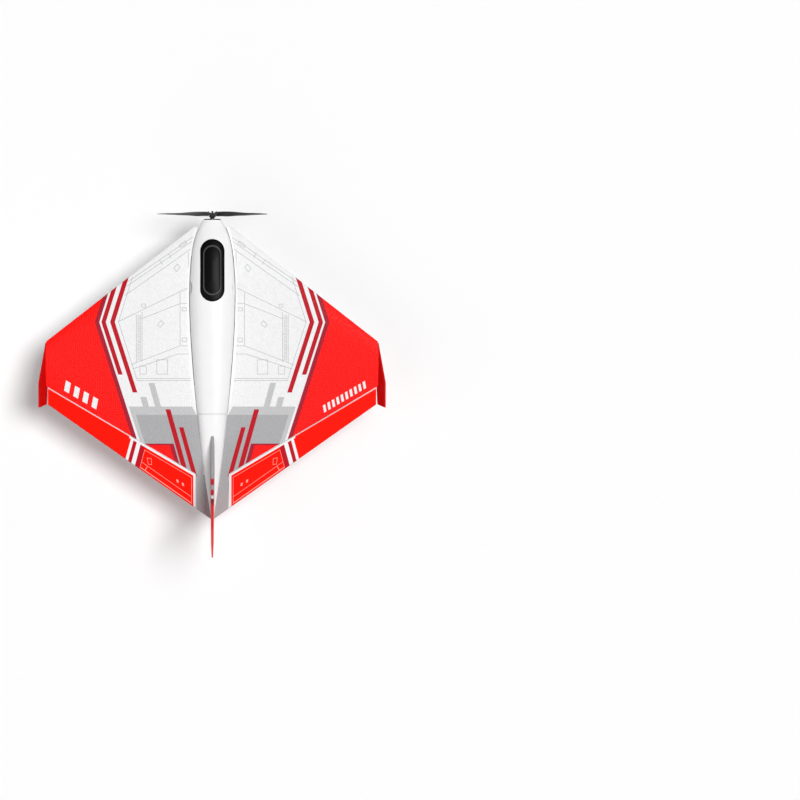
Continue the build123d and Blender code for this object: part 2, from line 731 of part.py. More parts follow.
with BuildPart() as fuselage_tub:
    add(port_wing)
    add(mirror(port_wing, about=Plane.YZ, mode=Mode.PRIVATE))
    add(flange_prism, mode=Mode.INTERSECT)
    add(hatch_room.part, mode=Mode.SUBTRACT)
    add(hull - above_seat())
    split(bisect_by=front(LOWER_NOSE), keep=Keep.BOTTOM)
    turned(LOWER_NOSE, 35, PEDESTAL_RADIUS)
    split(bisect_by=Plane.XY, keep=Keep.TOP)
    add(fuselage_body(TUB_WALL) & slab(*BAY), mode=Mode.SUBTRACT)
    tray, tray_half, tray_floor = TRAY
    with BuildSketch(plan(tray_floor)):
        with Locations((0, sum(tray) / 2)):
            RectangleRounded(2 * tray_half, tray[1] - tray[0], 3)
    extrude(amount=60, mode=Mode.SUBTRACT)
    with BuildSketch(side()):
        middle, depth, width = GROOVE
        groove_radius = ((width / 2) ** 2 + depth**2) / (2 * depth)
        with Locations((middle, depth - groove_radius)):
            Circle(groove_radius)
    extrude(amount=60, both=True, mode=Mode.SUBTRACT)
    add(grip_cuts.part, mode=Mode.SUBTRACT)
    add(vent_holes.part, mode=Mode.SUBTRACT)
    with BuildSketch(side(-40)):
        with Locations((SPAR_STATION, SPAR_Z)):
            Circle(SPAR_RADIUS)
        with Locations((LEAD_STATION, LEAD_Z)):
            Circle(1.6)
    extrude(amount=80, mode=Mode.SUBTRACT)
    with BuildSketch(front(40)):
        with Locations((0, SHAFT_Z)):
            SlotOverall(8, 3)
    extrude(amount=20, mode=Mode.SUBTRACT)
    add(motor_screws.part, mode=Mode.SUBTRACT)
    add(tub_magnets, mode=Mode.SUBTRACT)
    add(fin.part, mode=Mode.SUBTRACT)

with BuildPart() as tail_spine:
    add(hull)
    add(above_seat(), mode=Mode.INTERSECT)
    split(bisect_by=front(HATCH_END + SEAM / 2), keep=Keep.BOTTOM)
    add(fin.part, mode=Mode.SUBTRACT)

# ---------------------------------------------------------------- equipment in the bay

FLOOR = TRAY[2]
BATTERY = ((60.0, 104.0), 14.0, (9.9, 24.4))
PLUG = (108.0, 118.0)
ESC = ((123.0, 145.0), (-7.0, 13.0), (15.0, 21.0))
CONTROLLER = ((149.0, 186.0), 13.0, (FLOOR, 20.5))
LEAD_X = 9.0


def equipment(stations, x, heights, corner):
    """A rounded box in the bay."""
    with BuildPart() as box:
        with BuildSketch(plan(heights[0])):
            with Locations(((x[0] + x[1]) / 2, sum(stations) / 2)):
                RectangleRounded(x[1] - x[0], stations[1] - stations[0], corner)
        extrude(amount=heights[1] - heights[0])
    return box.part


def lead(points, diameter, bend):
    """A wire along straight runs joined by arcs, with one radius for each corner."""
    with BuildPart() as wire:
        with BuildLine() as path:
            FilletPolyline(*[(x, NOSE_Y + s, z) for x, s, z in points], radius=bend)
        with BuildSketch(Plane(origin=path.wire() @ 0, z_dir=path.wire() % 0)):
            Circle(diameter / 2)
        sweep(path=path.wire())
    return wire.part


battery = equipment(BATTERY[0], (-BATTERY[1], BATTERY[1]), BATTERY[2], 2.5)
with BuildPart() as battery_strap:
    with BuildSketch(front(90)):
        with Locations((0, sum(BATTERY[2]) / 2)):
            RectangleRounded(2 * BATTERY[1] + 1.8, BATTERY[2][1] - BATTERY[2][0] + 2.4, 1.4)
            Rectangle(2 * BATTERY[1] + 0.2, BATTERY[2][1] - BATTERY[2][0] + 0.4,
                      mode=Mode.SUBTRACT)
    extrude(amount=16)
esc = equipment(*ESC, 1.5)
flight_controller = equipment(CONTROLLER[0], (-CONTROLLER[1], CONTROLLER[1]), CONTROLLER[2], 1.5)
battery_plug = equipment(PLUG, (LEAD_X - 4, LEAD_X + 4), (15.5, 20.5), 1.0)

with BuildPart() as power_leads:
    for x in (LEAD_X - 1.3, LEAD_X + 1.3):
        for first, last in ((BATTERY[0][1], PLUG[0]), (PLUG[1], ESC[0][0])):
            with BuildSketch(front(last)):
                with Locations((x, 18.0)):
                    Circle(0.9)
            extrude(amount=last - first)

with BuildPart() as motor_wires:
    for x in (-2.2, 0, 2.2):
        add(lead([(x, LOWER_NOSE + 0.1, SHAFT_Z), (x, 38, SHAFT_Z), (x, 54, 26.8),
                  (x, 106, 26.8), (x, 117, 18.6), (x, ESC[0][0], 18.6)], 1.3,
                 [18, 18, 12, 7]))

servo_lead_start = servo_point + HINGE_AXIS * 8 - HINGE_AFT * 5
lead_run = (servo_lead_start.Y - NOSE_Y - LEAD_STATION) / HINGE_AFT.Y
servo_lead = lead([(servo_lead_start.X, servo_lead_start.Y - NOSE_Y, LEAD_Z),
                   (servo_lead_start.X - HINGE_AFT.X * lead_run, LEAD_STATION, LEAD_Z),
                   (18, LEAD_STATION, LEAD_Z), (9.5, LEAD_STATION, 17.5),
                   (9.5, CONTROLLER[0][1], 17.5)], 1.2, [4.0, 12.0, 4.0])

# ---------------------------------------------------------------- the pieces as separate files

SINGLE = {
    "fuselage_tub": fuselage_tub.part,
    "tail_spine": tail_spine.part,
    "top_hatch": top_hatch.part,
    "canopy": canopy.part,
    "hatch_magnets": hatch_magnets,
    "tub_magnets": tub_magnets,
    "fin": fin.part,
    "wing_spar": wing_spar.part,
    "motor_mount": motor_mount.part,
    "motor_screws": motor_screws.part,
    "motor_base": motor_base.part,
    "motor_stator": motor_stator.part,
    "motor_bell": motor_bell.part,
    "motor_shaft": motor_shaft.part,
    "prop_adapter": prop_adapter.part,
    "prop_clip": prop_clip.part,
    "propeller": propeller.part,
    "battery": battery,
    "battery_strap": battery_strap.part,
    "battery_plug": battery_plug,
    "power_leads": power_leads.part,
    "esc": esc,
    "motor_wires": motor_wires.part,
    "flight_controller": flight_controller,
}
PAIRS = {
    "wing": wing.part,
    "winglet": winglet.part,
    "elevon": elevon.part,
    "hinge_leaves_front": hinge_leaves_front.part,
    "hinge_leaves_rear": hinge_leaves_rear.part,
    "hinge_pins": hinge_pins.part,
    "servo": servo.part,
    "servo_arm": servo_arm.part,
    "servo_arm_screw": servo_arm_screw.part,
    "control_horn": control_horn.part,
    "pushrod": pushrod.part,
    "servo_lead": servo_lead,
}
for name, piece in SINGLE.items():
    save(piece, name)
for name, piece in PAIRS.items():
    save_pair(piece, name)
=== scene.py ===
"""A small foam flying wing seen from above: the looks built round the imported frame.

Metres, +Z up, nose towards -Y, +X to port. Paint patterns are written in millimetres as (distance
from the centreline, station aft of the nose), and show the same on both wings. On the fin and hull
they are (station, height).
"""
from math import copysign, cos, hypot, pi, radians, sin

import bmesh
import bpy
from mathutils import Matrix, Vector
from mathutils.bvhtree import BVHTree
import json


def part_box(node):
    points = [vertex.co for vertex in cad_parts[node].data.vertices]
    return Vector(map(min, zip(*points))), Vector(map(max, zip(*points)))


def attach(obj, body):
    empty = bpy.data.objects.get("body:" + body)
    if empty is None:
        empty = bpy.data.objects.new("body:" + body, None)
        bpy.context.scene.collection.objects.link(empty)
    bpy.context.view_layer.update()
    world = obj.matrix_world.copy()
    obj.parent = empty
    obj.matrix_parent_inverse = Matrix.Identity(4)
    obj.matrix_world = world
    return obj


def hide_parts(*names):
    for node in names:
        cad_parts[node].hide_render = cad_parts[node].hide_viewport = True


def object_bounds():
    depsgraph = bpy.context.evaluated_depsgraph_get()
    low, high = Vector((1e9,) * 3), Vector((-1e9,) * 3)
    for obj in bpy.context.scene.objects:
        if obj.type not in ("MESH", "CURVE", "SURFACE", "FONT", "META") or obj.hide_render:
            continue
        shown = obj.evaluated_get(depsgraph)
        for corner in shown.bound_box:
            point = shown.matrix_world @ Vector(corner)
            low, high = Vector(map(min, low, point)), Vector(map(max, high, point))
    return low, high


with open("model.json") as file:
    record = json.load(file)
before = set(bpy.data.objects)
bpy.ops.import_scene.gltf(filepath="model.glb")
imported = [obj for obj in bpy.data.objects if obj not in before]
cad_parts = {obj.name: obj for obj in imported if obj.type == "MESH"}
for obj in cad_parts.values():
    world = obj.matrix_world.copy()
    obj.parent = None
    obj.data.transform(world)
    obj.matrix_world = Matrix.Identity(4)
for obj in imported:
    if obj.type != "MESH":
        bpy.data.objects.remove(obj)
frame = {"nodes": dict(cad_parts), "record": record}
cad_low, cad_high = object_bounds()

MM = 0.001
SPAN = cad_high.x - cad_low.x
NOSE = cad_low.y
HINGE_INNER = (21.5, 352.6)
HINGE_OUTER = (221.0, 234.9)
EDGE_AFT = (0.0, 411.0)
EDGE_TIP = (221.0, 255.2)
NODES = frame["nodes"]
SLOTS = {part["node"]: part["material_slot"] for part in frame["record"]["subparts"]}

# ---------------------------------------------------------------- camera, floor and lights

VIEW_WIDTH = 2.313 * SPAN       # the wing is seen small, at the left of a wide picture
AIM = Vector((-0.5426 * SPAN, 0.0487 * SPAN, 0.054 * SPAN))
LENS = 200.0
SENSOR = 36.0
FLOOR_Z = -0.0585               # below the lowest point that the turning propeller reaches
FLOOR_REACH = 30.0
HORIZON = (0.05, 0.94)          # height of the direction, and brightness there
ZENITH = (0.13, 0.22)
# name, the place it shines from, spread in degrees, and power
LIGHTS = (
    ("key_light", (-1.0, -0.5, 3.1), 24.0, 2.3),
    ("fill_light", (2.0, 0.9, 2.4), 50.0, 0.42),
    ("tail_light", (0.5, 2.6, 1.7), 50.0, 0.3),
)


def look_at(thing, place, target, up):
    """Puts a camera or light at place, facing target, with up towards the top."""
    back = (place - target).normalized()
    across = up.cross(back).normalized()
    turn = Matrix((across, back.cross(across), back)).transposed()
    thing.matrix_world = Matrix.Translation(place) @ turn.to_4x4()


def make_camera():
    """Above the wing, nose to the top of the picture, aimed so that the wing lies at its left."""
    camera = bpy.data.objects.new("camera", bpy.data.cameras.new("camera"))
    bpy.context.scene.collection.objects.link(camera)
    camera.data.lens = LENS
    camera.data.sensor_width = SENSOR
    height = VIEW_WIDTH * LENS / SENSOR
    look_at(camera, Vector((0, AIM.y, AIM.z + height)), AIM, Vector((0, -1, 0)))
    bpy.context.scene.camera = camera


def make_sun(name, place, spread, power):
    """An even light from the direction of one place; a wide spread makes its shadows soft."""
    sun = bpy.data.objects.new(name, bpy.data.lights.new(name, "SUN"))
    bpy.context.scene.collection.objects.link(sun)
    sun.data.angle = radians(spread)
    sun.data.energy = power
    look_at(sun, Vector(place), Vector((0, 0, 0)), Vector((0, 0, 1)))


def make_floor():
    """A pale floor, wide enough to meet the horizon in every view."""
    floor_mesh = bpy.data.meshes.new("floor")
    signs = ((-1, -1), (1, -1), (1, 1), (-1, 1))
    corners = [(x * FLOOR_REACH, y * FLOOR_REACH, FLOOR_Z) for x, y in signs]
    floor_mesh.from_pydata(corners, [], [(0, 1, 2, 3)])
    floor = bpy.data.objects.new("floor", floor_mesh)
    bpy.context.scene.collection.objects.link(floor)
    floor_mesh.materials.append(Paint("floor_white", (0.93, 0.93, 0.93), 0.9).material)


def make_surround():
    """A world that is white at the horizon and dim overhead, where the suns do the lighting."""
    world = bpy.data.worlds.new("surround")
    bpy.context.scene.world = world
    world.use_nodes = True
    sky = world.node_tree
    direction = sky.nodes.new("ShaderNodeTexCoord")
    axes = sky.nodes.new("ShaderNodeSeparateXYZ")
    fade = sky.nodes.new("ShaderNodeMapRange")
    for socket, value in enumerate((HORIZON[0], ZENITH[0], HORIZON[1], ZENITH[1]), 1):
        fade.inputs[socket].default_value = value
    sky.nodes["Background"].inputs["Color"].default_value = (1, 1, 1, 1)
    sky.links.new(direction.outputs["Generated"], axes.inputs[0])
    sky.links.new(axes.outputs["Z"], fade.inputs[0])
    sky.links.new(fade.outputs[0], sky.nodes["Background"].inputs["Strength"])


def make_stage():
    """A pale floor, a pale surround and broad, soft lights."""
    make_floor()
    make_surround()
    for light in LIGHTS:
        make_sun(*light)
    bpy.context.scene.view_settings.view_transform = "Standard"


# ---------------------------------------------------------------- paint

class Paint:
    """One material, and the node sums that its pattern is made of.

    A distance is in millimetres, and positive inside the shape.
    """

    def __init__(self, name, colour, roughness, **sockets):
        self.material = bpy.data.materials.new(name)
        self.material.use_nodes = True
        self.tree = self.material.node_tree
        self.shader = self.tree.nodes["Principled BSDF"]
        self.shader.inputs["Base Color"].default_value = (*colour, 1)
        self.shader.inputs["Roughness"].default_value = roughness
        for socket, value in sockets.items():
            self.shader.inputs[socket.replace("_", " ")].default_value = value
        self.colour = (*colour, 1)
        self.measure()

    def node(self, kind, inputs, output=0, **settings):
        """Adds a node, each of whose inputs is a value or another node's output."""
        made = self.tree.nodes.new("ShaderNode" + kind)
        for name, value in settings.items():
            setattr(made, name, value)
        for key, value in inputs.items():
            if isinstance(value, bpy.types.NodeSocket):
                self.tree.links.new(value, made.inputs[key])
            else:
                made.inputs[key].default_value = value
        return made.outputs[output]

    def math(self, operation, *terms):
        return self.node("Math", dict(enumerate(terms)), operation=operation)

    def over(self, value, limit):
        """Distance by which a value is past a limit."""
        return self.math("SUBTRACT", value, limit)

    def under(self, value, limit):
        """Distance by which a value is short of a limit."""
        return self.math("SUBTRACT", limit, value)

    def least(self, *distances):
        """The overlap of several shapes."""
        best = distances[0]
        for other in distances[1:]:
            best = self.math("MINIMUM", best, other)
        return best

    def most(self, *distances):
        """Several shapes taken together."""
        best = distances[0]
        for other in distances[1:]:
            best = self.math("MAXIMUM", best, other)
        return best

    def measure(self):
        """The place on the object in millimetres, and the spot on the plan: (|x|, station, 1)."""
        self.place = self.node("TexCoord", {}, output="Object")
        axes = self.tree.nodes.new("ShaderNodeSeparateXYZ")
        self.tree.links.new(self.place, axes.inputs[0])
        self.across = self.math("MULTIPLY", axes.outputs["X"], 1 / MM)
        self.out = self.math("ABSOLUTE", self.across)
        self.station = self.math("MULTIPLY_ADD", axes.outputs["Y"], 1 / MM, -NOSE / MM)
        self.height = self.math("MULTIPLY", axes.outputs["Z"], 1 / MM)
        self.spot = self.node("CombineXYZ", {0: self.out, 1: self.station, 2: 1.0})

    def turn_to_side(self):
        """From here on the spot is taken in the side view: (station, height, 1)."""
        self.spot = self.node("CombineXYZ", {0: self.station, 1: self.height, 2: 1.0})

    def ahead(self, line):
        """Distance from the spot to a line (a, b, c), where a*u + b*v + c is 0 on it."""
        inputs = {0: self.spot, 1: line}
        return self.node("VectorMath", inputs, output="Value", operation="DOT_PRODUCT")

    def edge(self, start, end):
        """Distance to the right of the line from start to end, as (|x|, station) is drawn."""
        step_u, step_v = end[0] - start[0], end[1] - start[1]
        length = hypot(step_u, step_v)
        u, v = -step_v / length, step_u / length
        return self.ahead((u, v, -(u * start[0] + v * start[1])))

    def polygon(self, *points):
        """Distance inside a convex outline."""
        area = sum(a[0] * b[1] - a[1] * b[0] for a, b in zip(points, points[1:] + points[:1]))
        ring = points if area > 0 else points[::-1]
        return self.least(*[self.edge(a, b) for a, b in zip(ring, ring[1:] + ring[:1])])

    def disc(self, middle, radius):
        """Distance inside a circle."""
        inputs = {0: self.spot, 1: (*middle, 1.0)}
        reach = self.node("VectorMath", inputs, output="Value", operation="DISTANCE")
        return self.under(reach, radius)

    def between(self, value, low, high):
        """Distance inside the stretch from low to high."""
        off_middle = self.math("ABSOLUTE", self.over(value, (low + high) / 2))
        return self.under(off_middle, (high - low) / 2)

    def rim(self, distance, width):
        """Distance inside a line of that width along the edge of a shape."""
        return self.under(self.math("ABSOLUTE", distance), width / 2)

    def stroke(self, points, width):
        """Distance inside a line drawn through the points."""
        runs = []
        for start, end in zip(points, points[1:]):
            u, v = end[0] - start[0], end[1] - start[1]
            length = hypot(u, v)
            middle = (u * (start[0] + end[0]) + v * (start[1] + end[1])) / 2 / length
            along = self.ahead((u / length, v / length, -middle))
            reach = self.under(self.math("ABSOLUTE", along), (length + width) / 2)
            runs.append(self.least(self.rim(self.edge(start, end), width), reach))
        return self.most(*runs)

    def brush(self, distance, colour):
        """Lays a colour over what is painted so far, wherever the distance is positive."""
        cover = self.node("MapRange", {0: distance, 1: -EDGE_BLUR, 2: EDGE_BLUR})
        self.colour = self.node("Mix", {0: cover, 6: self.colour, 7: (*colour, 1)}, output=2,
                                data_type="RGBA")

    def mottle(self, scale, amount):
        """Uneven brightness, as any moulded or printed surface has."""
        noise = self.node("TexNoise", {"Vector": self.place, "Scale": scale, "Detail": 3.0})
        shade = self.node("MapRange", {0: noise, 1: 0.3, 2: 0.7, 3: 1 - amount, 4: 1.0})
        tint = self.node("CombineXYZ", {0: shade, 1: shade, 2: shade})
        self.colour = self.node("Mix", {0: 1.0, 6: self.colour, 7: tint}, output=2,
                                data_type="RGBA", blend_type="MULTIPLY")

    def bump(self, height, depth, normal=None):
        inputs = {"Strength": 1.0, "Distance": depth, "Height": height}
        if normal is not None:
            inputs["Normal"] = normal
        return self.node("Bump", inputs)

    def beads(self, size, depth):
        """The swollen foam beads that show on a moulded face."""
        inputs = {"Vector": self.place, "Scale": 1 / size, "Randomness": 0.6}
        cells = self.node("TexVoronoi", inputs, voronoi_dimensions="2D")
        dome = self.node("MapRange", {0: cells, 1: 0.55, 2: 0.10}, interpolation_type="SMOOTHSTEP")
        return self.bump(dome, depth)

    def grain(self, scale, depth, normal=None):
        """A fine uneven surface."""
        noise = self.node("TexNoise", {"Vector": self.place, "Scale": scale, "Detail": 4.0})
        return self.bump(noise, depth, normal)

    def done(self, normal):
        """Joins the finished colour and surface to the shader."""
        if isinstance(self.colour, bpy.types.NodeSocket):
            self.tree.links.new(self.colour, self.shader.inputs["Base Color"])
        self.tree.links.new(normal, self.shader.inputs["Normal"])
        return self.material


WHITE = (0.88, 0.88, 0.89)
HULL_WHITE = (0.91, 0.91, 0.915)
RED = (1.0, 0.006, 0.004)
ELEVON_RED = (1.0, 0.006, 0.0)
DARK_RED = (0.52, 0.006, 0.016)
BROWN_RED = (0.40, 0.012, 0.030)
PALE_RED = (1.0, 0.38, 0.30)
LIGHT_GREY = (0.56, 0.56, 0.57)
GREY = (0.42, 0.42, 0.43)
LINE_GREY = (0.43, 0.43, 0.44)
FIN_GREY = (0.36, 0.36, 0.37)
FIN_SHINE = (0.62, 0.64, 0.66)
# painted shade: the dark line in the seam beside the hatch
SLIT_SHADE_GREY = (0.16, 0.16, 0.17)
# painted shade in the recessed finger notches
NOTCH_SHADE_GREY = (0.54, 0.54, 0.55)
GRIP_GREY = (0.60, 0.60, 0.61)
BLACK = (0.012, 0.012, 0.013)

EDGE_BLUR = 0.12                # half the width over which one colour fades into the next

# the wing's scheme: nested chevrons about one station, and stripes that lean inwards going aft
CHEVRON_KINK = 148.0
CHEVRON_AFT = 0.32
CHEVRON_FORWARD = 0.31
# half width at the kink, colour inside it, and the station where it stops
CHEVRONS = (
    (155.6, BROWN_RED, None),
    (149.8, WHITE, None),
    (147.1, DARK_RED, 217.7),
    (141.2, WHITE, None),
    (135.5, DARK_RED, 241.4),
    (129.3, WHITE, 242.4),
)
STRIPE_SLOPE = 0.277
STRIPE_START = 263.8            # the station at which the stripes' distances from the centreline hold
PANEL_FRONT = 260.1             # stations of the light grey border and of the grey field behind it
FIELD_FRONT = 271.1
BEAD = 0.0024
BEAD_DEPTH = 0.00022

# the elevon's bands lean outwards going aft, and fine lines are inset from its edges
BAND_SLOPE = 0.27
BAND_START = 305.0              # the station at which the bands' distances from the centreline hold
ELEVON_LINE = 0.5
WHITE_TO = 110.0                # the broad white line along the hinge ends here, the thin one goes on

# the fin's bands, in the side view
FIN_SLOPE = 0.282
FIN_ROOT = 26.6                 # the height at which the bands' stations hold


def hinge_line(paint):
    """Distance forward of the hinge line."""
    return paint.edge(HINGE_OUTER, HINGE_INNER)


def row_of_bars(paint, start, direction, count, pitch, width, height, slant):
    """Distance inside a row of slanted bars, from the middle of the first."""
    u, v = cos(direction), sin(direction)
    along = paint.ahead((u, v, -(u * start[0] + v * start[1])))
    beside = paint.ahead((-v, u, v * start[0] - u * start[1]))
    leaning = paint.math("MULTIPLY_ADD", beside, slant, along)
    run = paint.between(leaning, -pitch / 2, (count - 0.5) * pitch)
    bar = paint.under(paint.math("PINGPONG", leaning, pitch / 2), width / 2)
    return paint.least(bar, run, paint.between(beside, -height / 2, height / 2))


def wing_foam():
    """Beaded foam with the printed scheme on its upper face."""
    paint = Paint("wing_foam", WHITE, 0.34, Specular_IOR_Level=0.10)
    forward = paint.math("MULTIPLY", paint.under(paint.station, CHEVRON_KINK), CHEVRON_FORWARD)
    aft = paint.math("MULTIPLY", paint.over(paint.station, CHEVRON_KINK), CHEVRON_AFT)
    chevron = paint.math("ADD", paint.out, paint.most(forward, aft))
    outer_panel(paint, chevron)
    rear_panel(paint, chevron)
    paint.brush(panel_lines(paint, chevron), LINE_GREY)
    plain_underside(paint)
    paint.mottle(260.0, 0.07)
    return paint.done(paint.grain(2500.0, 0.00004, paint.beads(BEAD, BEAD_DEPTH)))


def outer_panel(paint, chevron):
    """The red outer panel, the chevron bands inside it, and a row of bars on the red."""
    paint.brush(paint.over(chevron, CHEVRONS[1][0]), RED)
    for half_width, colour, rear_end in CHEVRONS:
        band = paint.under(chevron, half_width)
        if rear_end:
            band = paint.least(band, paint.under(paint.station, rear_end))
        paint.brush(band, colour)
    direction = radians(149.5)
    port = row_of_bars(paint, (192.0, 234.0), direction, count=4, pitch=14.0, width=7.4, height=13.0,
                       slant=0.35)
    starboard = row_of_bars(paint, (202.0, 231.5), direction, count=10, pitch=6.8, width=3.6,
                            height=9.0, slant=0.35)
    paint.brush(paint.least(port, paint.across), WHITE)
    paint.brush(paint.least(starboard, paint.under(paint.across, 0)), WHITE)


def rear_panel(paint, chevron):
    """The grey rear panel, its bars and stripes, and the red corner by the elevon."""
    stripe = paint.ahead((1.0, STRIPE_SLOPE, -STRIPE_SLOPE * STRIPE_START))
    in_field = paint.over(paint.station, FIELD_FRONT)
    clear_of_hull = paint.most(paint.edge((20.9, FIELD_FRONT), (26.9, PANEL_FRONT)), in_field)
    in_panel = paint.over(paint.station, PANEL_FRONT)
    paint.brush(paint.least(paint.under(chevron, 146.7), in_panel, clear_of_hull), LIGHT_GREY)
    paint.brush(paint.least(paint.under(chevron, 141.0), in_field), GREY)
    for low, high, front in ((67.1, 75.0, 228.7), (83.0, 91.1, 247.4)):
        reach = paint.between(paint.station, front, 261.0)
        paint.brush(paint.least(paint.between(stripe, low, high), reach), LIGHT_GREY)
    for inner, front, colour in ((64.0, 309.3, BROWN_RED), (69.4, 311.4, RED)):
        paint.brush(paint.least(paint.over(stripe, inner), paint.over(paint.station, front)), colour)
    for low, high, front in ((55.6, 62.2, 263.8), (44.9, 50.9, 287.6)):
        reach = paint.least(paint.over(paint.station, front), hinge_line(paint))
        paint.brush(paint.least(paint.between(stripe, low, high), reach), DARK_RED)
    white_edge = paint.under(hinge_line(paint), 2.4)
    paint.brush(paint.least(white_edge, paint.between(paint.out, 22.0, 101.0)), WHITE)


def panel_lines(paint, chevron):
    """Distance inside the thin printed panel lines of the white field."""
    thin = 0.62
    runs = (
        ((24.0, 33.8), (112.0, 94.3)),
        ((25.1, 39.5), (113.5, 100.6)),
        ((27.0, 49.8), (115.5, 112.5)),
        ((31.0, 101.8), (125.0, 147.5)),
        ((31.0, 123.5), (42.8, 123.5), (93.0, 143.2)),
        ((42.8, 109.5), (42.8, 179.5)),
        ((31.0, 179.5), (42.8, 179.5), (107.5, 204.4)),
        ((31.0, 190.3), (44.7, 190.3), (105.3, 210.0)),
        ((31.5, 56.0), (31.5, 180.0), (27.2, 224.0)),
        ((93.2, 134.7), (93.2, 200.0)),
        ((100.7, 138.0), (100.7, 201.0)),
        ((27.0, 223.0), (98.8, 223.0)),
        ((27.0, 225.6), (98.8, 225.6)),
        ((70.0, 65.2), (66.0, 71.5)),
        ((58.0, 57.0), (54.5, 63.0)),
    )
    outlines = [
        ((42.8, 75.0), (46.4, 71.0), (51.2, 76.6), (47.6, 81.0)),
        ((64.3, 150.0), (67.9, 146.0), (72.7, 151.4), (69.1, 155.0)),
        ((36.0, 40.0), (44.0, 45.6), (42.0, 48.8), (34.0, 43.2)),
    ]
    boxes = (
        (34.4, 129.0, 40.0, 133.0),
        (33.9, 169.0, 40.0, 174.0),
        (88.5, 124.0, 93.8, 128.0),
        (59.6, 198.0, 73.6, 217.0),
        (87.6, 206.5, 96.0, 217.0),
    )
    for inner, front, outer, rear in boxes:
        outlines.append(((inner, front), (outer, front), (outer, rear), (inner, rear)))
    lines = [paint.stroke(run, thin) for run in runs]
    lines.append(paint.least(paint.rim(paint.over(chevron, 124.4), thin),
                             paint.between(paint.station, 88.0, 225.6)))
    lines += [paint.rim(paint.polygon(*outline), thin) for outline in outlines]
    lines.append(ladder(paint))
    return paint.most(*lines)


def ladder(paint):
    """Distance inside the outlines of the small rungs between the two long lines."""
    pitch = 3.6
    in_step = paint.math("PINGPONG", paint.station, pitch / 2)
    rung = paint.least(paint.between(paint.out, 95.2, 98.7), paint.under(in_step, 1.15))
    return paint.least(paint.rim(rung, 0.5), paint.between(paint.station, 139.0, 199.0))


def plain_underside(paint):
    """Nothing is printed below: the lower face is plain white behind the leading edge."""
    facing = paint.tree.nodes.new("ShaderNodeSeparateXYZ")
    paint.tree.links.new(paint.node("TexCoord", {}, output="Normal"), facing.inputs[0])
    turned_down, sharpness = -0.25, 10.0
    below = paint.math("MULTIPLY", paint.under(facing.outputs["Z"], turned_down), sharpness)
    paint.brush(below, WHITE)


def elevon_foam():
    """Smooth bright red foam with white and dark red bands, fine inset lines and a black rear edge."""
    paint = Paint("elevon_foam", ELEVON_RED, 0.38, Specular_IOR_Level=0.05)
    behind_hinge = paint.edge(HINGE_INNER, HINGE_OUTER)
    before_edge = paint.edge(EDGE_TIP, EDGE_AFT)
    band = paint.ahead((1.0, -BAND_SLOPE, BAND_SLOPE * BAND_START))
    paint.brush(paint.between(band, 80.0, 108.5), WHITE)
    for low, high in ((99.5, 104.6), (86.0, 93.8)):
        paint.brush(paint.between(band, low, high), DARK_RED)
    paint.brush(paint.under(band, 87.0), ELEVON_RED)
    paint.brush(inset_lines(paint, behind_hinge, before_edge, band), PALE_RED)

    # white along the root and the hinge, black on the trailing edge
    paint.brush(paint.under(paint.out, 25.2), WHITE)
    broad = paint.least(paint.under(behind_hinge, 1.2), paint.under(paint.out, WHITE_TO))
    paint.brush(broad, WHITE)
    paint.brush(paint.under(behind_hinge, -0.7), WHITE)
    paint.brush(paint.under(before_edge, 0.25), BLACK)
    paint.mottle(90.0, 0.04)
    return paint.done(paint.grain(1600.0, 0.00005))


def inset_lines(paint, behind_hinge, before_edge, band):
    """Distance inside the pale frame of the elevon's inner panel, and the small marks within it."""
    front, rear = paint.over(behind_hinge, 4.6), paint.over(before_edge, 2.4)
    outer, root = paint.under(band, 86.3), paint.over(paint.out, 27.4)
    return paint.most(
        paint.least(paint.rim(front, ELEVON_LINE), outer, root),
        paint.least(paint.rim(paint.over(before_edge, 9.2), ELEVON_LINE), outer, root),
        paint.least(paint.rim(rear, 2 * ELEVON_LINE), outer, root),
        paint.least(paint.rim(paint.over(paint.out, 27.6), ELEVON_LINE), outer, front, rear),
        paint.least(paint.rim(outer, ELEVON_LINE), front, rear),
        paint.stroke(((86.1, 339.5), (89.4, 345.0)), 0.8),
        paint.rim(paint.polygon((81.0, 329.4), (86.4, 328.2), (85.1, 336.6), (80.6, 337.4)), ELEVON_LINE),
        paint.polygon((45.2, 357.6), (47.8, 356.6), (47.2, 360.6), (44.6, 361.6)),
        paint.polygon((38.0, 362.0), (40.6, 361.0), (40.0, 365.0), (37.4, 366.0)),
    )


def fin_foam():
    """Grey front, a two-tone dark band and a red rear, with a column of bars up the rear edge."""
    paint = Paint("fin_foam", FIN_GREY, 0.42, Specular_IOR_Level=0.4)
    paint.turn_to_side()
    band = paint.ahead((1.0, -FIN_SLOPE, FIN_SLOPE * FIN_ROOT))
    paint.brush(paint.least(paint.between(band, 361.8, 365.4), paint.over(paint.height, 60)), FIN_SHINE)
    paint.brush(paint.polygon((377.5, 84.0), (368.7, 78.6), (371.0, 73.6), (375.0, 75.1)), DARK_RED)
    paint.brush(paint.polygon((364.6, 77.0), (356.0, 71.0), (350.8, 51.6), (356.6, 51.3)), DARK_RED)
    for start, colour in ((365.2, (0.20, 0.006, 0.012)), (369.2, (0.36, 0.008, 0.016)),
                          (372.6, (0.72, 0.010, 0.014))):
        paint.brush(paint.over(band, start), colour)
    bars = row_of_bars(paint, (411.2, 39.5), radians(62.4), count=9, pitch=6.8, width=3.5, height=8.0,
                       slant=0.3)
    paint.brush(bars, WHITE)
    paint.mottle(140.0, 0.08)
    return paint.done(paint.grain(1800.0, 0.00005))


